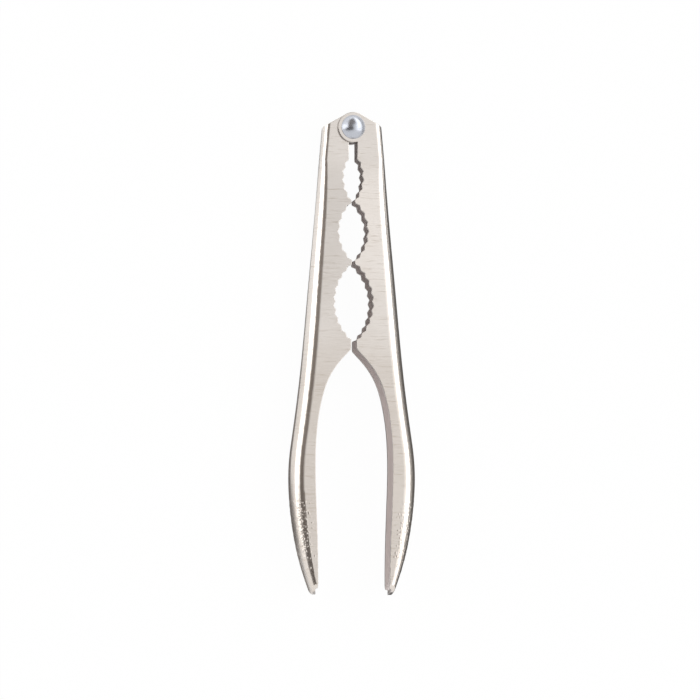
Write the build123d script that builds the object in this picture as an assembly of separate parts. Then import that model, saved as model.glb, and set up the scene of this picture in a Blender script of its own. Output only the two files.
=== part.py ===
from build123d import *
import math
import os

# A nutcracker of two pressed steel levers that swing on one rivet.
# Each lever is a U channel, open towards the other lever, with three toothed
# jaw openings along its flange edges and a bowed handle below them.
# Frame: the tool lies flat. Z runs along the rivet, +Y towards the pivot end,
# the handles reach to -Y, and the origin is the rivet's axis on the table.

# Sheet and running gaps at the pivot
SHEET = 1.2
EAR_GAP = 0.1
PIN_CLEARANCE = 0.05
HEAD_GAP = 0.05

# Rivet, spacing bush and tail washer
SHANK_RADIUS = 2.2
HEAD_RADIUS = 4.1
HEAD_HEIGHT = 2.3
HEAD_RIM = 0.25
TAIL_RADIUS = 3.6
TAIL_FLAT_RADIUS = 2.4
TAIL_RIM = 0.6
BUSH_WALL = 1.1
BUSH_CLEARANCE = 0.1
BUSH_END_GAP = 0.1
WASHER_RADIUS = 4.6
WASHER_THICKNESS = 0.7
WASHER_CLEARANCE = 0.1

# Jaw edge of a lever as it stands in the rest pose, from the pivot down.
# A half width or half gap is measured from the middle line of the tool.
EAR_RADIUS = 5.2
SLOT_HALF_GAP = 1.4
SLOT_END = 11.2
JAW_LENGTHS = [13.7, 19.5, 25.6]
JAW_HALF_WIDTHS = [3.0, 4.65, 6.3]
JAW_TEETH = [4, 6, 9]
LOBE_LENGTHS = [1.3, 1.7, 3.4]
LOBE_HALF_GAPS = [0.55, 0.5, 0.95]
LOBE_ROUNDING = 0.5
TOOTH_DEPTH = 0.65
TOOTH_ROUNDING = 0.25

# Channel beside the jaws, whose back is straight and flares from the pivot.
# Its walls are parallel at the ears and then deepen, gently at first. Past the
# ears they have sprung open by the splay, in degrees, and they come parallel
# again at the jaws' end. A bend is the radius inside the sheet.
PIVOT_HALF_DEPTH = 4.5
PIVOT_HALF_WIDTH = 10.0
PIVOT_BEND = 1.1
BACK_FLARE = 0.088
BACK_TOP = 0.3
JAW_END_HALF_DEPTH = 6.2
JAW_END_BEND = 3.3
JAW_SPLAY = 1.4
DEPTH_EASE = 1.3
BEND_EASE = 0.35

# Handle: it swells from the jaws to its bulge, then narrows to its tip.
# Each pair is a place along the handle's length and how far the change has
# gone there, both as shares. The tip's rounding is a share of its width, and
# runs out a little past the crown that ends the tip.
HANDLE_LENGTH = 83.6
BULGE_HALF_WIDTH = 21.4
BULGE_HALF_DEPTH = 7.25
BULGE_BEND = 3.2
TIP_HALF_WIDTH = 13.75
TIP_HALF_DEPTH = 6.0
TIP_BEND = 0.6
TIP_CROWN = 4.0
TIP_ROUNDING = 0.65
TIP_RUN_OUT = 0.2
SWELL = [(0.20, 0.38), (0.365, 0.77), (0.52, 1.0)]
NARROWING = [(0.69, 0.13), (0.85, 0.46), (0.965, 0.86), (1.04, 1.15)]

# Inner edge of the handle, which arches out from under the last lobe to the
# widest finger gap and then leans in to the tip, in pairs as above.
ARCH_RUN = 2.8
ARCH_DROP = 3.0
ARCH_ROUNDING = 1.2
GRIP_HALF_GAP = 13.35
TIP_HALF_GAP = 12.3
ARCH_CURVE = [(0.12, 0.51), (0.20, 0.75), (0.28, 0.89), (0.44, 1.0)]
GRIP_CURVE = [(0.69, 0.45)]

# Room that cutting shapes have past the sheet
MARGIN = 6.0

MIDDLE = BULGE_HALF_DEPTH
JAW_END = -(SLOT_END + sum(JAW_LENGTHS) + sum(LOBE_LENGTHS))
TIP = JAW_END - HANDLE_LENGTH
EAR_STEP = SHEET + EAR_GAP
BORE_RADIUS = SHANK_RADIUS + PIN_CLEARANCE


def between(start, end, share):
    return start + (end - start) * share


def on_handle(share):
    return JAW_END - share * HANDLE_LENGTH


def back_at(y):
    return PIVOT_HALF_WIDTH - BACK_FLARE * y


def channel_section(y, half_width, bend, front, back, splay):
    """U section across a lever. bend is the radius inside the sheet, and front
    and back are the outer faces of the two flanges from the tool's mid plane,
    where they leave their bends. splay is how far each flange leans outwards."""
    outside = bend + SHEET
    bend_x = half_width - outside
    edge_x = -EAR_RADIUS - MARGIN
    upper = MIDDLE + front - outside
    lower = MIDDLE - back + outside
    sweep = 90 - splay
    rise = math.tan(math.radians(splay))

    def on_bend(radius, centre_z, angle):
        turn = math.radians(angle)
        return (bend_x + radius * math.cos(turn), y, centre_z + radius * math.sin(turn))

    def arc(radius, centre_z, start_angle, end_angle):
        angles = (start_angle, (start_angle + end_angle) / 2, end_angle)
        return Edge.make_three_point_arc(*(on_bend(radius, centre_z, angle) for angle in angles))

    def flange_edge(start, outwards):
        return (edge_x, y, start[2] + outwards * (start[0] - edge_x) * rise)

    top = on_bend(outside, upper, sweep)
    under_top = on_bend(bend, upper, sweep)
    bottom = on_bend(outside, lower, -sweep)
    over_bottom = on_bend(bend, lower, -sweep)
    top_edge = flange_edge(top, 1)
    under_top_edge = flange_edge(under_top, 1)
    bottom_edge = flange_edge(bottom, -1)
    over_bottom_edge = flange_edge(over_bottom, -1)
    return Wire(
        [
            Edge.make_line(top_edge, top),
            arc(outside, upper, sweep, 0),
            Edge.make_line(on_bend(outside, upper, 0), on_bend(outside, lower, 0)),
            arc(outside, lower, 0, -sweep),
            Edge.make_line(bottom, bottom_edge),
            Edge.make_line(bottom_edge, over_bottom_edge),
            Edge.make_line(over_bottom_edge, over_bottom),
            arc(bend, lower, -sweep, 0),
            Edge.make_line(on_bend(bend, lower, 0), on_bend(bend, upper, 0)),
            arc(bend, upper, 0, sweep),
            Edge.make_line(under_top, under_top_edge),
            Edge.make_line(under_top_edge, top_edge),
        ]
    )


def lobe_tops():
    """Where each lobe between the jaw openings starts, from the pivot down."""
    tops = []
    y = -SLOT_END
    for jaw, lobe in zip(JAW_LENGTHS, LOBE_LENGTHS):
        y -= jaw
        tops.append(y)
        y -= lobe
    return tops


def jaw_section(y):
    """Section beside the jaws. Past the slot its walls deepen and come level,
    and they lean outwards most a quarter of the way down."""
    past_slot = max(0.0, (y + SLOT_END) / (JAW_END + SLOT_END))
    deepened = past_slot**DEPTH_EASE
    bend = between(PIVOT_BEND, JAW_END_BEND, past_slot**BEND_EASE)
    front = between(PIVOT_HALF_DEPTH, JAW_END_HALF_DEPTH, deepened)
    back = front - EAR_STEP * (1 - deepened)
    splay = JAW_SPLAY * math.sin(math.pi * math.sqrt(past_slot))
    return channel_section(y, back_at(y), bend, front, back, splay)


def channel():
    """The bent channel, before its jaw edge, ear and end are cut out. The walls
    that carry the ears are flat down to the end of the slot."""
    slot_section = jaw_section(-SLOT_END)
    ears = Solid.make_loft([jaw_section(EAR_RADIUS + MARGIN), slot_section], ruled=True)
    sections = [slot_section] + [jaw_section(y) for y in lobe_tops()]
    for place, share in SWELL:
        half_width = between(back_at(JAW_END), BULGE_HALF_WIDTH, share)
        depth = between(JAW_END_HALF_DEPTH, BULGE_HALF_DEPTH, share)
        bend = between(JAW_END_BEND, BULGE_BEND, share)
        sections.append(channel_section(on_handle(place), half_width, bend, depth, depth, 0))
    for place, share in NARROWING:
        half_width = between(BULGE_HALF_WIDTH, TIP_HALF_WIDTH, share)
        depth = between(BULGE_HALF_DEPTH, TIP_HALF_DEPTH, share)
        bend = between(BULGE_BEND, TIP_BEND, share)
        sections.append(channel_section(on_handle(place), half_width, bend, depth, depth, 0))
    return ears + Solid.make_loft(sections)


def jaw_edge():
    """Corner points and rounding radii from the ear, down the slot and along
    the teeth and lobes to where the handle's arch begins."""
    ear_end = -math.sqrt(EAR_RADIUS**2 - SLOT_HALF_GAP**2)
    points = [(SLOT_HALF_GAP, ear_end), (SLOT_HALF_GAP, -SLOT_END)]
    radii = [LOBE_ROUNDING]
    jaws = zip(JAW_LENGTHS, JAW_HALF_WIDTHS, JAW_TEETH, LOBE_LENGTHS, LOBE_HALF_GAPS)
    for length, half_width, teeth, lobe_length, lobe_gap in jaws:
        x, y = points[-1]
        peak = (half_width, y - length / 2)
        end = (lobe_gap, y - length)
        bow = Edge.make_three_point_arc((x, y), peak, end)
        steps = 2 * (teeth + 1)
        for step in range(1, steps):
            place = bow.position_at(step / steps)
            along = bow.tangent_at(step / steps)
            depth = TOOTH_DEPTH if step % 2 else 0
            points.append((place.X - along.Y * depth, place.Y + along.X * depth))
            radii.append(TOOTH_ROUNDING)
        points.append(end)
        points.append((lobe_gap, end[1] - lobe_length))
        radii += [LOBE_ROUNDING, LOBE_ROUNDING]
    x, y = points[-1]
    points.append((x + ARCH_RUN, y - ARCH_DROP))
    radii[-1] = ARCH_ROUNDING
    return points, radii


def lever_outline():
    """Front view of a lever. It trims the ear, the sloping top, the jaw edge
    and the tip, and runs clear of the channel's back."""
    points, radii = jaw_edge()
    edge = FilletPolyline(*points, radius=radii)
    arch = [points[-1]]
    for place, share in ARCH_CURVE:
        arch.append((between(points[-1][0], GRIP_HALF_GAP, share), on_handle(place)))
    for place, share in GRIP_CURVE:
        arch.append((between(GRIP_HALF_GAP, TIP_HALF_GAP, share), on_handle(place)))
    tip_radius = TIP_ROUNDING * (TIP_HALF_WIDTH - TIP_HALF_GAP)
    tip_end = TIP - TIP_RUN_OUT
    tip_middle = (TIP_HALF_GAP + tip_radius, tip_end)
    tip_side = (TIP_HALF_GAP + 2 * tip_radius, tip_end + tip_radius)
    arch.append((TIP_HALF_GAP, tip_end + tip_radius))
    arch_start = Vector(ARCH_RUN, -ARCH_DROP).normalized()
    inner = Spline(*arch, tangents=[arch_start, (0, -1)], tangent_scalars=[1, 1])

    # The sloping top is tangent to the ear and meets the back at its top
    corner_angle = math.atan2(BACK_TOP, PIVOT_HALF_WIDTH)
    corner_reach = math.hypot(BACK_TOP, PIVOT_HALF_WIDTH)
    touch = corner_angle + math.acos(EAR_RADIUS / corner_reach)
    top = Vector(EAR_RADIUS * math.cos(touch), EAR_RADIUS * math.sin(touch))
    slope = Vector(math.sin(touch), -math.cos(touch))
    far_x = max(PIVOT_HALF_WIDTH, BULGE_HALF_WIDTH) + MARGIN
    far_top = top + slope * ((far_x - top.X) / slope.X)
    ear = ThreePointArc(top, (-EAR_RADIUS, 0), points[0])
    tip = ThreePointArc(arch[-1], tip_middle, tip_side)
    rest = Polyline(tip_side, (far_x, tip_side[1]), far_top, top)
    runs = [ear, edge, inner, tip, rest]
    return make_face([part for run in runs for part in run.edges()])


def tip_waste():
    """What is cut off past the crowned end of a lever, seen from the side."""
    half_depth = TIP_HALF_DEPTH + SHEET / 2
    crown = (half_depth**2 + TIP_CROWN**2) / (2 * TIP_CROWN)
    width = 2 * (BULGE_HALF_WIDTH + MARGIN)
    length = TIP_CROWN + MARGIN
    height = 2 * (half_depth + MARGIN)
    block = Pos(0, TIP + TIP_CROWN - length / 2, MIDDLE) * Box(width, length, height)
    round_end = Pos(0, TIP + crown, MIDDLE) * Rot(0, 90, 0) * Cylinder(crown, width)
    return block - round_end


def lever():
    """The right lever. Its front ear is the outer one, its back ear the inner."""
    height = 2 * (MIDDLE + MARGIN)
    blank = Pos(0, 0, -MARGIN) * extrude(lever_outline(), height)
    pressing = blank & channel()
    bore = Pos(0, 0, MIDDLE) * Cylinder(BORE_RADIUS, height)
    return pressing - tip_waste() - bore


def pivot_rivet(tail_top, head_base):
    """Dome in front, shank through the four ears, peened tail behind."""
    dome_base = head_base + HEAD_RIM
    dome_height = HEAD_HEIGHT - HEAD_RIM
    sphere = (HEAD_RADIUS**2 + dome_height**2) / (2 * dome_height)
    half_turn = math.asin(HEAD_RADIUS / sphere) / 2
    dome_top = head_base + HEAD_HEIGHT
    dome_middle = (sphere * math.sin(half_turn), dome_top - sphere + sphere * math.cos(half_turn))
    with BuildSketch(Plane.XZ) as profile:
        with BuildLine():
            Polyline((0, dome_top), (0, 0), (TAIL_FLAT_RADIUS, 0))
            tail_side = (TAIL_RADIUS, tail_top - TAIL_RIM)
            Spline((TAIL_FLAT_RADIUS, 0), tail_side, tangents=[(1, 0), (0, 1)])
            Polyline(
                tail_side,
                (TAIL_RADIUS, tail_top),
                (SHANK_RADIUS, tail_top),
                (SHANK_RADIUS, head_base),
                (HEAD_RADIUS, head_base),
                (HEAD_RADIUS, dome_base),
            )
            ThreePointArc((HEAD_RADIUS, dome_base), dome_middle, (0, dome_top))
        make_face()
    return revolve(profile.sketch, Axis.Z)


def ring(inner_radius, outer_radius, bottom, top):
    flat = Circle(outer_radius) - Circle(inner_radius)
    return Pos(0, 0, bottom) * extrude(flat, top - bottom)


right_lever = lever()
left_lever = right_lever.rotate(Axis((0, 0, MIDDLE), (0, 1, 0)), 180)

back_ear = MIDDLE - PIVOT_HALF_DEPTH
front_ear = MIDDLE + PIVOT_HALF_DEPTH
tail_top = back_ear - WASHER_THICKNESS
bush_top = front_ear - EAR_STEP - SHEET
bush_bottom = back_ear + EAR_STEP + SHEET + BUSH_END_GAP
bush_bore = SHANK_RADIUS + BUSH_CLEARANCE

parts = {
    "left_lever": left_lever,
    "right_lever": right_lever,
    "pivot_rivet": pivot_rivet(tail_top, front_ear + HEAD_GAP),
    "spacing_bush": ring(bush_bore, bush_bore + BUSH_WALL, bush_bottom, bush_top),
    "tail_washer": ring(SHANK_RADIUS + WASHER_CLEARANCE, WASHER_RADIUS, tail_top, back_ear),
}

os.makedirs("parts", exist_ok=True)
for name, shape in parts.items():
    export_step(shape, f"parts/{name}.step")
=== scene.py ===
import math

import bmesh
import bpy
import numpy
from mathutils import Matrix, Vector, noise
from mathutils.bvhtree import BVHTree
from mathutils.interpolate import poly_3d_calc
from mathutils.kdtree import KDTree


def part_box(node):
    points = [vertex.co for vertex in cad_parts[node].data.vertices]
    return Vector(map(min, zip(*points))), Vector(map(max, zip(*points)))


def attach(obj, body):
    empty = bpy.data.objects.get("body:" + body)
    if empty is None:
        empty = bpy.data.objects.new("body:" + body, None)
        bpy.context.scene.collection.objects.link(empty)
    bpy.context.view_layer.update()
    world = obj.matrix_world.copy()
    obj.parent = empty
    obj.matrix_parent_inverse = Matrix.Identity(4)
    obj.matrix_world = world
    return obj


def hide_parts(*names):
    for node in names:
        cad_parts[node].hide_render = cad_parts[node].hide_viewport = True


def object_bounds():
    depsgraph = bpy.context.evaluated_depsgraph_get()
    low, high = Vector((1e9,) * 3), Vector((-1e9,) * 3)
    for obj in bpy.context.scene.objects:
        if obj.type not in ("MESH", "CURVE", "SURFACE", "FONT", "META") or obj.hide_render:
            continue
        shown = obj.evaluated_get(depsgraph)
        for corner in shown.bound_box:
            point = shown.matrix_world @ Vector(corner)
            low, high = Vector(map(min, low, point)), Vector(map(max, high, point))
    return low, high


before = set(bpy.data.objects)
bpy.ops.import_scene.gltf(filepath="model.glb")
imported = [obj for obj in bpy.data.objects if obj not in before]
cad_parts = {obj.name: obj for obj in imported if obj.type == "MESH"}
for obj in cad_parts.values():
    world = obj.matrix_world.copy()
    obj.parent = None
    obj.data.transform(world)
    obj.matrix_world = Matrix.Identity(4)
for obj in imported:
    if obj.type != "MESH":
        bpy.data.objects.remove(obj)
cad_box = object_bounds()


# Levers
# Two like stampings of sheet steel, each folded to a U channel and nickel plated:
# rubbed crosswise outside, matt inside, darker on the cut edges. The inside's
# colour is painted shade in the jaws and painted light along the handles. Pebbles
# pressed into the lower end of each handle keep it from slipping in a wet hand.
MM = 0.001
JOIN_WITHIN = 0.0001 * MM
SHARP_FOLD = math.radians(40)
SHEET_EDGE_EASE = 0.16 * MM
ON_SKIN = 0.02 * MM
SAME_SIDE = math.cos(math.radians(35))
MID_PLANE = (cad_box[0].z + cad_box[1].z) / 2
OUTER_LEAN = 0.5
OFF_EDGE = 0.05 * MM

GRIP_TOP = -126 * MM
GRIP_FULL = -133 * MM
GRIP_FADES = -146 * MM
GRIP_END = -153 * MM
GRIP_GRAIN = 0.17 * MM
BEND_LEAN = 0.08
FLANGE_REACH = 2.0 * MM
FLANGE_SHARE = 0.45
PEBBLE_PITCH = 0.68 * MM
PEBBLE_HEIGHT = 0.085 * MM
PEBBLE_REACH = 0.58
PEBBLE_DRAW = 7.3

# Where the handles' colour shift starts and is full; on the inside it is painted light.
HANDLE_TOP = -68 * MM
HANDLE_FULL = -86 * MM
DEEP_SCRATCHES = (0.56, 0.72)
SCRATCH_WEAR = 0.75


def eased_copy(node, ease):
    """The CAD piece as one joined skin, with its sharp edges rounded over."""
    skin = bmesh.new()
    skin.from_mesh(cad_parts[node].data)
    bmesh.ops.remove_doubles(skin, verts=skin.verts, dist=JOIN_WITHIN)
    sharp = [edge for edge in skin.edges if edge.calc_face_angle(0) > SHARP_FOLD]
    bmesh.ops.bevel(
        skin,
        geom=sharp,
        offset=ease,
        offset_type="OFFSET",
        affect="EDGES",
        segments=2,
        profile=0.5,
        material=-1,
    )
    return skin


def skin_of(node):
    """A search for a CAD piece's normal at a place on its skin. Where faces meet
    there, it is the flattest one's, so that bends leave the flats smoothly. Off
    the skin it is no direction at all."""
    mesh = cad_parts[node].data
    places = [vertex.co for vertex in mesh.vertices]
    tree = BVHTree.FromPolygons(places, [face.vertices[:] for face in mesh.polygons])

    def normal_at(place):
        flattest = Vector()
        for spot, _, index, _ in tree.find_nearest_range(place, ON_SKIN):
            face = mesh.polygons[index]
            weights = poly_3d_calc([places[corner] for corner in face.vertices], spot)
            normal = Vector()
            for loop, weight in zip(face.loop_indices, weights):
                normal += mesh.corner_normals[loop].vector * weight
            normal.normalize()
            if max(abs(normal.x), abs(normal.z)) > max(abs(flattest.x), abs(flattest.z)):
                flattest = normal
        return flattest

    return normal_at


def finished_piece(skin, name, node, body, materials):
    """Makes the skin a piece. Where it lies on the CAD surface it takes that
    surface's normals, so flats stay flat up to their rounded edges. A corner
    whose CAD face is round the edge keeps its own face's normal."""
    mesh = bpy.data.meshes.new(name)
    skin.to_mesh(mesh)
    skin.free()
    mesh.shade_smooth()
    normal_at = skin_of(node)
    exact = numpy.array([normal_at(vertex.co) for vertex in mesh.vertices])
    corners = numpy.array([loop.vertex_index for loop in mesh.loops])
    facets = numpy.array([face.normal for face in mesh.polygons])
    facets = facets.repeat([face.loop_total for face in mesh.polygons], axis=0)
    normals = exact[corners]
    lean = (normals * facets).sum(axis=1)
    round_edge = normals.any(axis=1) & (lean < SAME_SIDE)
    normals[round_edge] = facets[round_edge]
    mesh.normals_split_custom_set(normals.tolist())
    for material in materials:
        mesh.materials.append(material)
    piece = bpy.data.objects.new(name, mesh)
    bpy.context.scene.collection.objects.link(piece)
    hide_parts(node)
    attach(piece, body)


def outwards(face, side):
    """Whether a face lies on the outside of the channel's web, bends or walls."""
    across = face.normal.x * side
    upright = face.normal.z * (1 if face.calc_center_median().z > MID_PLANE else -1)
    return across + upright > OUTER_LEAN


def blanked(face, walls):
    """Whether a face is the sheet's cut edge: upright, with no wall over it."""
    centre = face.calc_center_median()
    over = Vector((0, 0, 1 if centre.z > MID_PLANE else -1))
    upright = abs(face.normal.z) < OUTER_LEAN
    return upright and not walls.ray_cast(centre + face.normal * OFF_EDGE, over)[0]


def steps(start, end, step):
    """Places evenly between start and end, no further apart than a step."""
    count = math.ceil((end - start) / step)
    return [start + (end - start) * place / count for place in range(1, count)]


def cut_fine(skin, faces, axis, places):
    """Cuts the faces by planes across one axis, the middle plane first, so that
    each plane after it has only its own half to cut."""
    if not faces or not places:
        return faces
    middle = len(places) // 2
    place = places[middle]
    edges = dict.fromkeys(edge for face in faces for edge in face.edges)
    corners = dict.fromkeys(corner for face in faces for corner in face.verts)
    cut = bmesh.ops.bisect_plane(
        skin,
        geom=[*faces, *edges, *corners],
        plane_co=axis * place,
        plane_no=axis,
    )
    halves = ([], [])
    for part in cut["geom"]:
        if isinstance(part, bmesh.types.BMFace):
            halves[part.calc_center_median().dot(axis) > place].append(part)
    before = cut_fine(skin, halves[0], axis, places[:middle])
    return before + cut_fine(skin, halves[1], axis, places[middle + 1 :])


def press_pebbles(skin, node, side):
    """Raises the pebbles on the outside of one grip. They are thick on the web
    and its bends, and thin out on the walls beside them."""
    low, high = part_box(node)
    for end in (GRIP_TOP, GRIP_END):
        bmesh.ops.bisect_plane(
            skin,
            geom=[*skin.verts, *skin.edges, *skin.faces],
            plane_co=(0, end, 0),
            plane_no=(0, 1, 0),
        )
    grip = []
    for face in skin.faces:
        if GRIP_END < face.calc_center_median().y < GRIP_TOP and outwards(face, side):
            grip.append(face)
    grip = cut_fine(skin, grip, Vector((0, 1, 0)), steps(GRIP_END, GRIP_TOP, GRIP_GRAIN))
    grip = cut_fine(skin, grip, Vector((1, 0, 0)), steps(low.x, high.x, GRIP_GRAIN))
    grip = cut_fine(skin, grip, Vector((0, 0, 1)), steps(low.z, high.z, GRIP_GRAIN))
    normal_at = skin_of(node)
    corners = dict.fromkeys(corner for face in grip for corner in face.verts)
    normals = {corner: normal_at(corner.co) for corner in corners}
    bent = [corner for corner in corners if normals[corner].x * side > BEND_LEAN]
    bend = KDTree(len(bent))
    for index, corner in enumerate(bent):
        bend.insert(corner.co, index)
    bend.balance()
    moves = []
    for corner, normal in normals.items():
        distances, centres = noise.voronoi(corner.co / PEBBLE_PITCH)
        pebble = centres[0] * PEBBLE_PITCH
        thick = min(1, (GRIP_TOP - pebble.y) / (GRIP_TOP - GRIP_FULL))
        thin = min(1, (pebble.y - GRIP_END) / (GRIP_FADES - GRIP_END))
        off_bend = bend.find(pebble)[2]
        share = 1 if off_bend < GRIP_GRAIN else FLANGE_SHARE * (1 - off_bend / FLANGE_REACH)
        if abs(noise.cell(centres[0] * PEBBLE_DRAW)) < min(thick, thin) * share:
            rise = max(0, 1 - (distances[0] / PEBBLE_REACH) ** 2)
            moves.append((corner, normal * PEBBLE_HEIGHT * rise))
    for corner, move in moves:
        corner.co += move


def new_node(tree, kind, **settings):
    """A shader node with its settings made."""
    node = tree.nodes.new("ShaderNode" + kind)
    for name, value in settings.items():
        setattr(node, name, value)
    return node


def rubbed_metal_group():
    """Short streaks across the piece, as a belt leaves them, and soft clouds of
    worn plating. Streaks run along X and Z and are narrow along Y. Handle Shift is
    how much further the colour goes towards Worn And Lit along the handles; on the
    inside of the channel this is painted light."""
    group = bpy.data.node_groups.new("rubbed_metal", "ShaderNodeTree")
    sockets = group.interface
    for name in ("Streak Length", "Streak Width", "Smoothest", "Roughest", "Handle Shift"):
        sockets.new_socket(name, in_out="INPUT", socket_type="NodeSocketFloat")
    for name in ("Base", "Worn And Lit"):
        sockets.new_socket(name, in_out="INPUT", socket_type="NodeSocketColor")
    sockets.new_socket("Colour", in_out="OUTPUT", socket_type="NodeSocketColor")
    sockets.new_socket("Roughness", in_out="OUTPUT", socket_type="NodeSocketFloat")
    sockets.new_socket("Height", in_out="OUTPUT", socket_type="NodeSocketFloat")
    link = group.links.new
    inputs = group.nodes.new("NodeGroupInput")
    outputs = group.nodes.new("NodeGroupOutput")
    place = new_node(group, "TexCoord")

    size = new_node(group, "CombineXYZ")
    link(inputs.outputs["Streak Length"], size.inputs["X"])
    link(inputs.outputs["Streak Width"], size.inputs["Y"])
    link(inputs.outputs["Streak Length"], size.inputs["Z"])
    stretched = new_node(group, "VectorMath", operation="DIVIDE")
    link(place.outputs["Object"], stretched.inputs[0])
    link(size.outputs["Vector"], stretched.inputs[1])
    streaks = new_node(group, "TexNoise")
    streaks.inputs["Scale"].default_value = 1.0
    streaks.inputs["Detail"].default_value = 3.0
    streaks.inputs["Roughness"].default_value = 0.65
    link(stretched.outputs["Vector"], streaks.inputs["Vector"])

    scratches = new_node(group, "TexNoise")
    scratches.inputs["Scale"].default_value = 0.37
    scratches.inputs["Detail"].default_value = 4.0
    scratches.inputs["Roughness"].default_value = 0.7
    link(stretched.outputs["Vector"], scratches.inputs["Vector"])
    deep = new_node(group, "MapRange")
    deep.inputs["From Min"].default_value = DEEP_SCRATCHES[0]
    deep.inputs["From Max"].default_value = DEEP_SCRATCHES[1]
    link(scratches.outputs["Fac"], deep.inputs["Value"])

    clouds = new_node(group, "TexNoise")
    clouds.inputs["Scale"].default_value = 95.0
    clouds.inputs["Detail"].default_value = 4.0
    link(place.outputs["Object"], clouds.inputs["Vector"])

    worn = new_node(group, "Math", operation="MULTIPLY")
    link(streaks.outputs["Fac"], worn.inputs[0])
    link(clouds.outputs["Fac"], worn.inputs[1])
    dulled = new_node(group, "Math", operation="MULTIPLY_ADD", use_clamp=True)
    dulled.inputs[1].default_value = SCRATCH_WEAR
    link(deep.outputs["Result"], dulled.inputs[0])
    link(worn.outputs["Value"], dulled.inputs[2])
    parts = new_node(group, "SeparateXYZ")
    link(place.outputs["Object"], parts.inputs["Vector"])
    handle_shift = new_node(group, "MapRange")
    handle_shift.inputs["From Min"].default_value = HANDLE_TOP
    handle_shift.inputs["From Max"].default_value = HANDLE_FULL
    link(parts.outputs["Y"], handle_shift.inputs["Value"])
    link(inputs.outputs["Handle Shift"], handle_shift.inputs["To Max"])
    handled = new_node(group, "Math", operation="ADD", use_clamp=True)
    link(dulled.outputs["Value"], handled.inputs[0])
    link(handle_shift.outputs["Result"], handled.inputs[1])

    colour = new_node(group, "Mix", data_type="RGBA")
    link(handled.outputs["Value"], colour.inputs["Factor"])
    link(inputs.outputs["Base"], colour.inputs["A"])
    link(inputs.outputs["Worn And Lit"], colour.inputs["B"])
    roughness = new_node(group, "MapRange")
    link(dulled.outputs["Value"], roughness.inputs["Value"])
    link(inputs.outputs["Smoothest"], roughness.inputs["To Min"])
    link(inputs.outputs["Roughest"], roughness.inputs["To Max"])
    height = new_node(group, "Math", operation="SUBTRACT")
    link(streaks.outputs["Fac"], height.inputs[0])
    link(deep.outputs["Result"], height.inputs[1])
    link(colour.outputs["Result"], outputs.inputs["Colour"])
    link(roughness.outputs["Result"], outputs.inputs["Roughness"])
    link(height.outputs["Value"], outputs.inputs["Height"])
    return group


rubbed_metal = rubbed_metal_group()
ALONG_PIECE = 0.25


def metal(name, values, bump_strength, bump_depth, spread, bare=1.0):
    """A bare or plated metal. spread is how far its gloss is drawn out along
    the piece, across the lines that rubbing leaves. bare is how much of it is
    free of the dull bloom that scatters light."""
    material = bpy.data.materials.new(name)
    material.use_nodes = True
    tree = material.node_tree
    surface = tree.nodes["Principled BSDF"]
    surface.inputs["Metallic"].default_value = bare
    surface.inputs["Anisotropic"].default_value = spread
    surface.inputs["Anisotropic Rotation"].default_value = ALONG_PIECE
    finish = new_node(tree, "Group", node_tree=rubbed_metal)
    for socket, value in values.items():
        finish.inputs[socket].default_value = value
    around = new_node(tree, "Tangent", direction_type="RADIAL", axis="Y")
    tree.links.new(around.outputs["Tangent"], surface.inputs["Tangent"])
    bump = new_node(tree, "Bump")
    bump.inputs["Strength"].default_value = bump_strength
    bump.inputs["Distance"].default_value = bump_depth
    tree.links.new(finish.outputs["Height"], bump.inputs["Height"])
    tree.links.new(bump.outputs["Normal"], surface.inputs["Normal"])
    tree.links.new(finish.outputs["Colour"], surface.inputs["Base Color"])
    tree.links.new(finish.outputs["Roughness"], surface.inputs["Roughness"])
    return material


nickel_outside = metal(
    "nickel_outside",
    {
        "Streak Length": 3.0 * MM,
        "Streak Width": 0.28 * MM,
        "Base": (0.87, 0.82, 0.775, 1),
        "Worn And Lit": (0.68, 0.61, 0.545, 1),
        "Smoothest": 0.18,
        "Roughest": 0.26,
        "Handle Shift": 0.38,
    },
    bump_strength=0.3,
    bump_depth=0.015 * MM,
    spread=0.6,
)
# Painted shade and light: the dark Base is shade in the jaws' deep channel, and along the handles
# the colour goes towards the pale Worn And Lit as painted light where the channel lies open.
nickel_inside = metal(
    "nickel_inside",
    {
        "Streak Length": 0.9 * MM,
        "Streak Width": 0.5 * MM,
        "Base": (0.50, 0.455, 0.44, 1),
        "Worn And Lit": (0.75, 0.69, 0.675, 1),
        "Smoothest": 0.45,
        "Roughest": 0.65,
        "Handle Shift": 0.9,
    },
    bump_strength=0.2,
    bump_depth=0.02 * MM,
    spread=0.0,
    bare=0.1,
)
nickel_edges = metal(
    "nickel_edges",
    {
        "Streak Length": 0.4 * MM,
        "Streak Width": 0.4 * MM,
        "Base": (0.46, 0.43, 0.41, 1),
        "Worn And Lit": (0.30, 0.28, 0.27, 1),
        "Smoothest": 0.35,
        "Roughest": 0.55,
    },
    bump_strength=0.3,
    bump_depth=0.02 * MM,
    spread=0.0,
)

for node, body, side in (("left_lever", "left", -1), ("right_lever", "right", 1)):
    skin = eased_copy(node, SHEET_EDGE_EASE)
    walls = BVHTree.FromBMesh(skin)
    plating = [nickel_outside, nickel_inside, nickel_edges]
    for face in skin.faces:
        finish = nickel_inside
        if outwards(face, side):
            finish = nickel_outside
        elif blanked(face, walls):
            finish = nickel_edges
        face.material_index = plating.index(finish)
    press_pebbles(skin, node, side)
    finished_piece(skin, node + "_pressing", node, body, plating)


# Spacing bush and tail washer
# A short steel tube round the rivet keeps the ears apart, and a plain washer
# spreads the peened tail on the back ear.
TURNED_EDGE_EASE = 0.08 * MM

turned_steel = metal(
    "turned_steel",
    {
        "Streak Length": 3.0 * MM,
        "Streak Width": 0.2 * MM,
        "Base": (0.66, 0.65, 0.64, 1),
        "Worn And Lit": (0.46, 0.45, 0.44, 1),
        "Smoothest": 0.2,
        "Roughest": 0.45,
    },
    bump_strength=0.2,
    bump_depth=0.015 * MM,
    spread=0.4,
)

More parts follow.
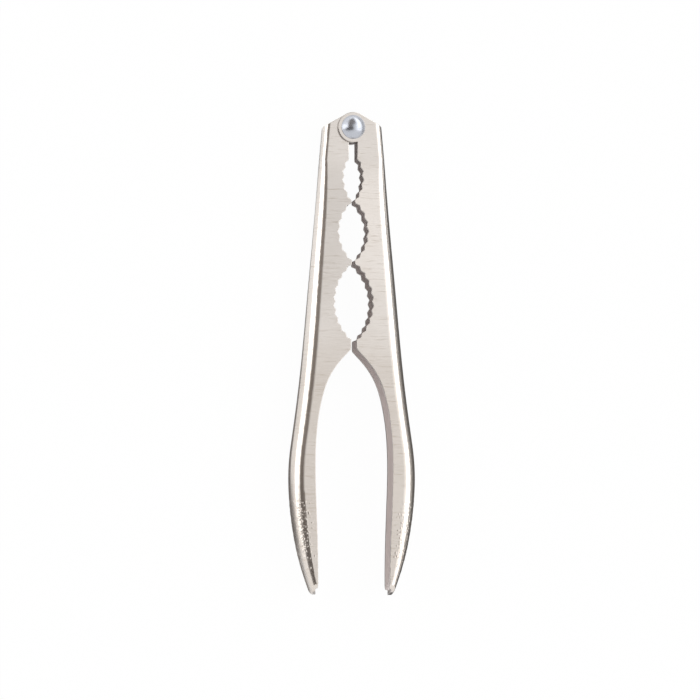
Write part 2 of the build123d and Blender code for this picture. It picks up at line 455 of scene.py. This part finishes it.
for node, slot in (("spacing_bush", "bush"), ("tail_washer", "washer")):
    skin = eased_copy(node, TURNED_EDGE_EASE)
    finished_piece(skin, node + "_turned", node, "left", [turned_steel])


# Pivot rivet
# One steel rivet, its dome polished bright and its tail peened over the washer
# behind, so that the levers can't be taken apart.
RIVET_EDGE_EASE = 0.1 * MM

polished_rivet = metal(
    "polished_rivet",
    {
        "Streak Length": 0.9 * MM,
        "Streak Width": 0.5 * MM,
        "Base": (0.54, 0.56, 0.61, 1),
        "Worn And Lit": (0.44, 0.46, 0.51, 1),
        "Smoothest": 0.24,
        "Roughest": 0.36,
    },
    bump_strength=0.12,
    bump_depth=0.01 * MM,
    spread=0.0,
)
skin = eased_copy("pivot_rivet", RIVET_EDGE_EASE)
finished_piece(skin, "pivot_rivet_polished", "pivot_rivet", "left", [polished_rivet])


# Floor
# A plain sheet of white glass under the tool, lit a little from below and wide
# enough for every view. It shows as white and keeps a faint soft shadow.
FLOOR_HALF = 20.0
FLOOR_WHITE = (0.95, 0.95, 0.95, 1)
GLOW_SEEN = 0.97
GLOW_MIRRORED = 0.6
GLOW_THROUGH = 0.9


def stage_piece(name, shape, material):
    """A shape that isn't part of the tool."""
    mesh = bpy.data.meshes.new(name)
    shape.to_mesh(mesh)
    shape.free()
    mesh.materials.append(material)
    piece = bpy.data.objects.new(name, mesh)
    bpy.context.scene.collection.objects.link(piece)
    return piece


def stage_sheet(name, low, high, height, material):
    """A flat sheet between two corners, at one height."""
    sheet = bmesh.new()
    bmesh.ops.create_grid(sheet, x_segments=1, y_segments=1, size=0.5)
    span = Vector((high[0] - low[0], high[1] - low[1], 1))
    centre = Vector(((low[0] + high[0]) / 2, (low[1] + high[1]) / 2, height))
    bmesh.ops.scale(sheet, vec=span, verts=sheet.verts)
    bmesh.ops.translate(sheet, vec=centre, verts=sheet.verts)
    return stage_piece(name, sheet, material)


white_glass = bpy.data.materials.new("white_glass")
white_glass.use_nodes = True
tree = white_glass.node_tree
matt = tree.nodes["Principled BSDF"]
matt.inputs["Base Color"].default_value = FLOOR_WHITE
matt.inputs["Roughness"].default_value = 0.9
matt.inputs["Specular IOR Level"].default_value = 0.0
glow = new_node(tree, "Emission")
rays = new_node(tree, "LightPath")
mirrored = new_node(tree, "Math", operation="MAXIMUM")
mirrored_share = new_node(tree, "Math", operation="MULTIPLY_ADD")
mirrored_share.inputs[1].default_value = GLOW_MIRRORED - GLOW_THROUGH
mirrored_share.inputs[2].default_value = GLOW_THROUGH
seen_share = new_node(tree, "Math", operation="MULTIPLY_ADD")
seen_share.inputs[1].default_value = GLOW_SEEN - GLOW_THROUGH
mixed = new_node(tree, "MixShader")
tree.links.new(rays.outputs["Is Glossy Ray"], mirrored.inputs[0])
tree.links.new(rays.outputs["Is Transmission Ray"], mirrored.inputs[1])
tree.links.new(mirrored.outputs["Value"], mirrored_share.inputs[0])
tree.links.new(rays.outputs["Is Camera Ray"], seen_share.inputs[0])
tree.links.new(mirrored_share.outputs["Value"], seen_share.inputs[2])
tree.links.new(seen_share.outputs["Value"], mixed.inputs["Fac"])
tree.links.new(matt.outputs["BSDF"], mixed.inputs[1])
tree.links.new(glow.outputs["Emission"], mixed.inputs[2])
tree.links.new(mixed.outputs["Shader"], tree.nodes["Material Output"].inputs["Surface"])
stage_sheet("floor", (-FLOOR_HALF, -FLOOR_HALF), (FLOOR_HALF, FLOOR_HALF), 0, white_glass)


# Studio
# A white tent, brightest low on both sides and even at its near end, with a dark
# slot open in its roof. Cards beside the right lever and under the left one, and
# a grey film beside the left handle, are seen only in reflections and darken the
# levers' outer edges there: the black cards are painted dark reflections, the
# grey card and the film a painted shadow of the tool on the floor.
TENT_LIGHT = 2.1
# How far a part of the tent is swung to the right of overhead, and its level
TENT = [
    (-90, 2.0),
    (-42, 2.0),
    (-8, 0.75),
    (0, 0.70),
    (4, 0.74),
    (9, 0.87),
    (11, 1.06),
    (20, 1.13),
    (27, 1.25),
    (33, 2.1),
    (66, 2.1),
    (78, 0.5),
    (90, 0.3),
]
NEAR_END = (-0.25, -0.45)
NEAR_LIGHT = 1.0
LEFT_WALL = (-42, -58)
# Where along the tent each end of its left wall starts, where it is full, its level
LEFT_WALL_ENDS = [
    (-0.08, -0.2, 0.85),
    (0.28, 0.45, 1.2),
]
SLOT_TINT = (1, 0.9, 0.84)
# A place along the tent, the slot's left and right side there, and its level
SLOT = [
    (-0.45, -30, -30, 0.12),
    (-0.34, -62, 2, 0.12),
    (-0.08, -62, 2, 0.12),
    (0.02, -38, -4, 0.16),
    (0.12, -41, -4, 0.25),
    (0.36, -41, -4, 0.27),
    (0.50, -45, 24, 0.30),
    (0.88, -45, 28, 0.30),
    (0.98, -10, -10, 0.30),
]
SLOT_BLUR = 3
CARD_LOW = (11 * MM, -175 * MM)
CARD_HIGH = (300 * MM, -20 * MM)
TOP_CARD_HIGH = (60 * MM, 25 * MM)
CARD_HEIGHT = 0.2 * MM
# Greys of the painted dark reflections and painted shadows below.
DARK_REFLECTION_GREY = (0.05, 0.045, 0.042, 1)
SHADOW_LINE_GREY = (0.25, 0.235, 0.23, 1)
LINE_CARD_SPREAD = 1.08
FILM_HEIGHT = 0.1 * MM
SHADOW_FILM_GREY = (0.18, 0.17, 0.165, 1)
FILM_ACROSS = (-62 * MM, -19 * MM)
FILM_ALONG = (-112 * MM, -134 * MM)
FILM_FADES = (-158 * MM, -138 * MM)
SHADOW_FILM_DENSEST = 0.8

world = bpy.data.worlds.new("studio")
bpy.context.scene.world = world
world.use_nodes = True
tree = world.node_tree
sky = tree.nodes["Background"]
sky.inputs["Strength"].default_value = TENT_LIGHT


def result_of(tree, operation, *values):
    """What a Math node makes of other nodes' outputs and plain numbers."""
    node = new_node(tree, "Math", operation=operation)
    for socket, value in zip(node.inputs, values):
        if isinstance(value, bpy.types.NodeSocket):
            tree.links.new(value, socket)
        else:
            socket.default_value = value
    return node.outputs["Value"]


def ranged(tree, value, start, end, smooth):
    """How far a value has gone from start to end, from 0 to 1."""
    node = new_node(tree, "MapRange")
    node.interpolation_type = "SMOOTHSTEP" if smooth else "LINEAR"
    node.inputs["From Min"].default_value = start
    node.inputs["From Max"].default_value = end
    tree.links.new(value, node.inputs["Value"])
    return node.outputs["Result"]


def share_of_swing(angle):
    """Where an angle in degrees lies between the tent's two sides."""
    return (angle - TENT[0][0]) / (TENT[-1][0] - TENT[0][0])


def ramp(tree, value, stops):
    """Colours that follow a value from 0 to 1 through the stops."""
    node = new_node(tree, "ValToRGB")
    tree.links.new(value, node.inputs["Fac"])
    for place, _ in stops[1:-1]:
        node.color_ramp.elements.new(place)
    for element, (place, colour) in zip(node.color_ramp.elements, stops):
        element.position = place
        element.color = (*colour, 1)
    return node.outputs["Color"]


def mixed_light(tree, share, light, other):
    """Light with a share of another in its place, which may be a plain level."""
    node = new_node(tree, "Mix", data_type="RGBA")
    tree.links.new(share, node.inputs["Factor"])
    tree.links.new(light, node.inputs["A"])
    if isinstance(other, bpy.types.NodeSocket):
        tree.links.new(other, node.inputs["B"])
    else:
        level = other / TENT_LIGHT
        node.inputs["B"].default_value = (level, level, level, 1)
    return node.outputs["Result"]


direction = new_node(tree, "TexCoord")
parts = new_node(tree, "SeparateXYZ")
tree.links.new(direction.outputs["Generated"], parts.inputs["Vector"])
along = parts.outputs["Y"]
swing = result_of(tree, "ARCTAN2", parts.outputs["X"], parts.outputs["Z"])
across = ranged(tree, swing, math.radians(TENT[0][0]), math.radians(TENT[-1][0]), False)
levels = [(share_of_swing(angle), [level / TENT_LIGHT] * 3) for angle, level in TENT]
light = ramp(tree, across, levels)
left_wall = ranged(tree, swing, *[math.radians(angle) for angle in LEFT_WALL], True)
for start, end, level in LEFT_WALL_ENDS:
    wall_end = result_of(tree, "MULTIPLY", ranged(tree, along, start, end, True), left_wall)
    light = mixed_light(tree, wall_end, light, level)
light = mixed_light(tree, ranged(tree, along, *NEAR_END, True), light, NEAR_LIGHT)

sides = new_node(tree, "SeparateColor")
outline = []
for y, left, right, level in SLOT:
    outline.append(((y + 1) / 2, (share_of_swing(left), share_of_swing(right), level / TENT_LIGHT)))
tree.links.new(ramp(tree, ranged(tree, along, -1, 1, False), outline), sides.inputs["Color"])
slot_light = new_node(tree, "VectorMath", operation="SCALE")
slot_light.inputs[0].default_value = SLOT_TINT
tree.links.new(sides.outputs["Blue"], slot_light.inputs["Scale"])
blur = share_of_swing(SLOT_BLUR) - share_of_swing(0)
past_left = result_of(tree, "SUBTRACT", across, sides.outputs["Red"])
past_right = result_of(tree, "SUBTRACT", sides.outputs["Green"], across)
inside = result_of(
    tree,
    "MULTIPLY",
    ranged(tree, past_left, -blur, blur, True),
    ranged(tree, past_right, -blur, blur, True),
)
light = mixed_light(tree, inside, light, slot_light.outputs["Vector"])
tree.links.new(light, sky.inputs["Color"])


def card_material(name, grey):
    """Plain matt card or film of one grey."""
    material = bpy.data.materials.new(name)
    material.use_nodes = True
    material.node_tree.nodes["Principled BSDF"].inputs["Base Color"].default_value = grey
    return material


# The black cards paint dark reflections along the right lever's outer edge; they are seen only in
# reflections.
dark_reflection_card = card_material("dark_reflection_card", DARK_REFLECTION_GREY)
painted_shadow_card = card_material("painted_shadow_card", SHADOW_LINE_GREY)
side_card = stage_sheet("side_card", CARD_LOW, CARD_HIGH, CARD_HEIGHT, dark_reflection_card)
top_card_low = (CARD_LOW[0], CARD_HIGH[1])
top_card = stage_sheet("top_card", top_card_low, TOP_CARD_HIGH, CARD_HEIGHT, dark_reflection_card)

# A painted shadow: a grey copy of the left lever's outline on the floor, seen only in reflections,
# darkens the web's outer edge as the tool's contact shadow would.
shadow_outline = bmesh.new()
shadow_outline.from_mesh(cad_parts["left_lever"].data)
bmesh.ops.scale(shadow_outline, vec=(LINE_CARD_SPREAD, 1, 0), verts=shadow_outline.verts)
bmesh.ops.translate(shadow_outline, vec=(0, 0, CARD_HEIGHT), verts=shadow_outline.verts)
shadow_line_card = stage_piece("shadow_line_card", shadow_outline, painted_shadow_card)

# A painted shadow: a grey film on the floor beside the left handle, densest near the tool and seen
# only in reflections, stands for the tool's shadow there.
painted_shadow_film = card_material("painted_shadow_film", SHADOW_FILM_GREY)
tree = painted_shadow_film.node_tree
place = new_node(tree, "TexCoord")
parts = new_node(tree, "SeparateXYZ")
tree.links.new(place.outputs["Object"], parts.inputs["Vector"])
shadow_density = result_of(
    tree,
    "MULTIPLY",
    ranged(tree, parts.outputs["X"], *FILM_ACROSS, True),
    ranged(tree, parts.outputs["Y"], *FILM_ALONG, True),
)
shadow_density = result_of(tree, "MULTIPLY", shadow_density, ranged(tree, parts.outputs["Y"], *FILM_FADES, True))
shadow_density = result_of(tree, "MULTIPLY", shadow_density, SHADOW_FILM_DENSEST)
tree.links.new(shadow_density, tree.nodes["Principled BSDF"].inputs["Alpha"])
film_low = (FILM_ACROSS[0], CARD_LOW[1])
film_high = (0, FILM_ALONG[0])
shadow_film_card = stage_sheet("shadow_film_card", film_low, film_high, FILM_HEIGHT, painted_shadow_film)
# The cards and film are seen only in reflections: painted dark reflections and a painted shadow of
# the tool on the floor.
for card in (side_card, top_card, shadow_line_card, shadow_film_card):
    card.visible_camera = False
    card.visible_diffuse = False
    card.visible_shadow = False


# Camera
# It looks almost straight down, from a little to the left and below, with a
# long lens.
LEAN_LEFT = math.radians(8.2)
LEAN_LOW = math.radians(4.7)
FACE_HEIGHT = 11.75 * MM
PIXEL = 0.3425 * MM
PIVOT_PIXEL = (353.4, 127.0)
IMAGE_SIDE = 700
DISTANCE = 2.0

towards = Vector((-math.sin(LEAN_LEFT), -math.sin(LEAN_LOW), 0))
towards.z = math.sqrt(1 - towards.length_squared)
right = Vector((0, 1, 0)).cross(towards).normalized()
up = towards.cross(right)
aim = Vector((0, 0, FACE_HEIGHT))
aim += right * (IMAGE_SIDE / 2 - PIVOT_PIXEL[0]) * PIXEL
aim -= up * (IMAGE_SIDE / 2 - PIVOT_PIXEL[1]) * PIXEL
camera_data = bpy.data.cameras.new("camera")
camera_data.lens = camera_data.sensor_width * DISTANCE / (IMAGE_SIDE * PIXEL)
camera = bpy.data.objects.new("camera", camera_data)
turn = Matrix((right, up, towards)).transposed().to_4x4()
camera.matrix_world = Matrix.Translation(aim + towards * DISTANCE) @ turn
bpy.context.scene.collection.objects.link(camera)
bpy.context.scene.camera = camera
bpy.context.scene.view_settings.view_transform = "Standard"
